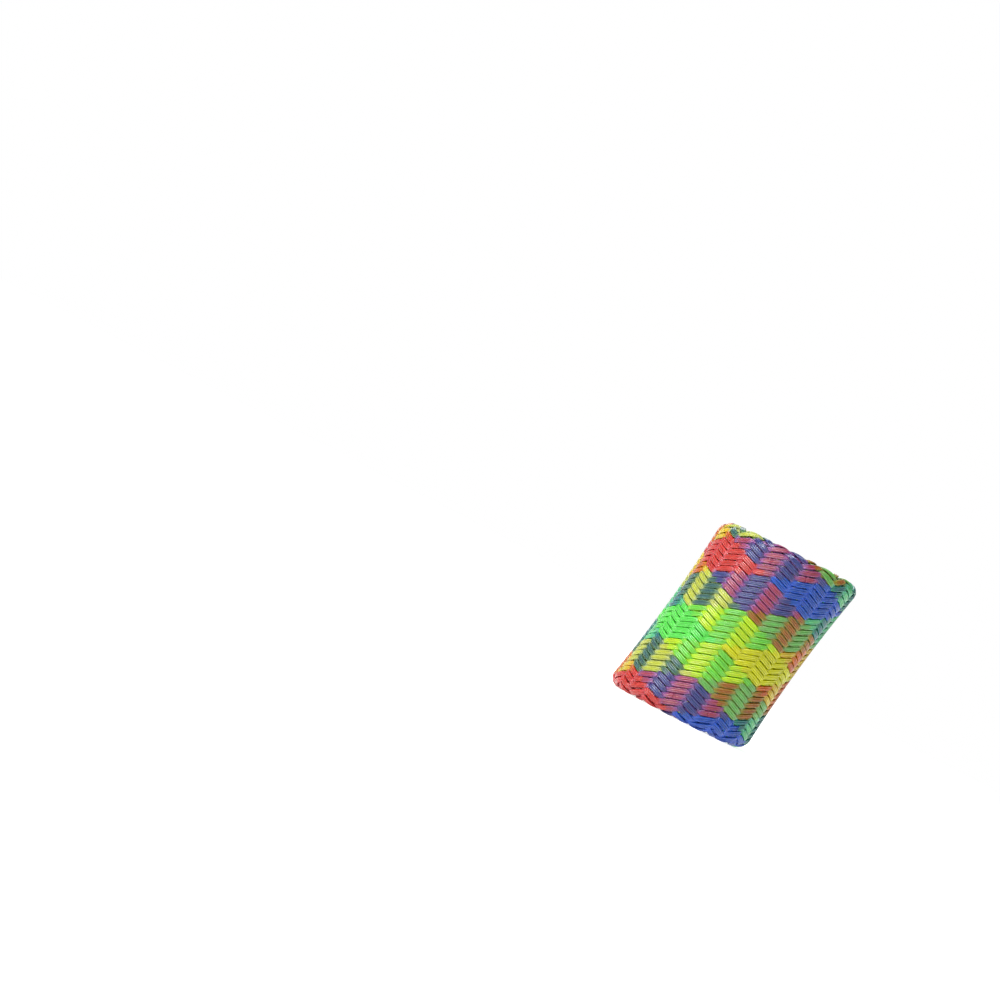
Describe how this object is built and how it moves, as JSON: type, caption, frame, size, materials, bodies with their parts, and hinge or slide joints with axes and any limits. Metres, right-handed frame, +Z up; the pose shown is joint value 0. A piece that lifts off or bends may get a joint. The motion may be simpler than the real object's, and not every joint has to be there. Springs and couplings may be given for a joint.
{
  "type": "braided squeeze tube",
  "caption": "Short springy tube braided from coloured monofilament strands, its ends turned inside; squeezed end to end between finger and thumb, it springs back.",
  "frame": {"origin": "on the resting surface under the middle of the bounding box", "axes": "+Z up from the lower rim to the upper rim, which are both level; the tube leans towards +X by 8.8 degrees, as it is held; -Y is the front"},
  "size_m": [0.0272, 0.023, 0.03],
  "materials": {
    "red_filament": "clear-tinted drawn monofilament, glossy",
    "blue_filament": "clear-tinted drawn monofilament, glossy",
    "green_filament": "clear-tinted drawn monofilament, glossy",
    "yellow_filament": "clear-tinted drawn monofilament, glossy",
    "hem_braid": "braid of the four filament colours, glossy",
    "fused_edge": "melted filament ends, mixed colours, satin"
  },
  "bodies": {
    "lower_end": {"lower_hem": "hem_braid", "lower_fused_edge": "fused_edge", "right_strand_01": "green_filament", "right_strand_02": "green_filament", "right_strand_03": "green_filament", "right_strand_04": "green_filament", "right_strand_05": "green_filament", "right_strand_06": "green_filament", "right_strand_07": "blue_filament", "right_strand_08": "blue_filament", "right_strand_09": "blue_filament", "right_strand_10": "blue_filament", "right_strand_11": "blue_filament", "right_strand_12": "blue_filament", "right_strand_13": "red_filament", "right_strand_14": "red_filament", "right_strand_15": "red_filament", "right_strand_16": "red_filament", "right_strand_17": "red_filament", "right_strand_18": "red_filament", "right_strand_19": "yellow_filament", "right_strand_20": "yellow_filament", "right_strand_21": "yellow_filament", "right_strand_22": "yellow_filament", "right_strand_23": "yellow_filament", "right_strand_24": "yellow_filament", "left_strand_01": "yellow_filament", "left_strand_02": "yellow_filament", "left_strand_03": "yellow_filament", "left_strand_04": "yellow_filament", "left_strand_05": "yellow_filament", "left_strand_06": "yellow_filament", "left_strand_07": "red_filament", "left_strand_08": "red_filament", "left_strand_09": "red_filament", "left_strand_10": "red_filament", "left_strand_11": "red_filament", "left_strand_12": "red_filament", "left_strand_13": "blue_filament", "left_strand_14": "blue_filament", "left_strand_15": "blue_filament", "left_strand_16": "blue_filament", "left_strand_17": "blue_filament", "left_strand_18": "blue_filament", "left_strand_19": "green_filament", "left_strand_20": "green_filament", "left_strand_21": "green_filament", "left_strand_22": "green_filament", "left_strand_23": "green_filament", "left_strand_24": "green_filament"},
    "upper_end": {"upper_hem": "hem_braid", "upper_fused_edge": "fused_edge"}
  },
  "joints": [
    {"name": "squeeze", "type": "slide", "parent": "lower_end", "child": "upper_end", "axis": [0.153, 0, 0.9882], "range_m": [-0.01, 0.005], "stiffness_N_per_m": 350, "deforming": ["right_strand_01", "right_strand_02", "right_strand_03", "right_strand_04", "right_strand_05", "right_strand_06", "right_strand_07", "right_strand_08", "right_strand_09", "right_strand_10", "right_strand_11", "right_strand_12", "right_strand_13", "right_strand_14", "right_strand_15", "right_strand_16", "right_strand_17", "right_strand_18", "right_strand_19", "right_strand_20", "right_strand_21", "right_strand_22", "right_strand_23", "right_strand_24", "left_strand_01", "left_strand_02", "left_strand_03", "left_strand_04", "left_strand_05", "left_strand_06", "left_strand_07", "left_strand_08", "left_strand_09", "left_strand_10", "left_strand_11", "left_strand_12", "left_strand_13", "left_strand_14", "left_strand_15", "left_strand_16", "left_strand_17", "left_strand_18", "left_strand_19", "left_strand_20", "left_strand_21", "left_strand_22", "left_strand_23", "left_strand_24"]}
  ]
}
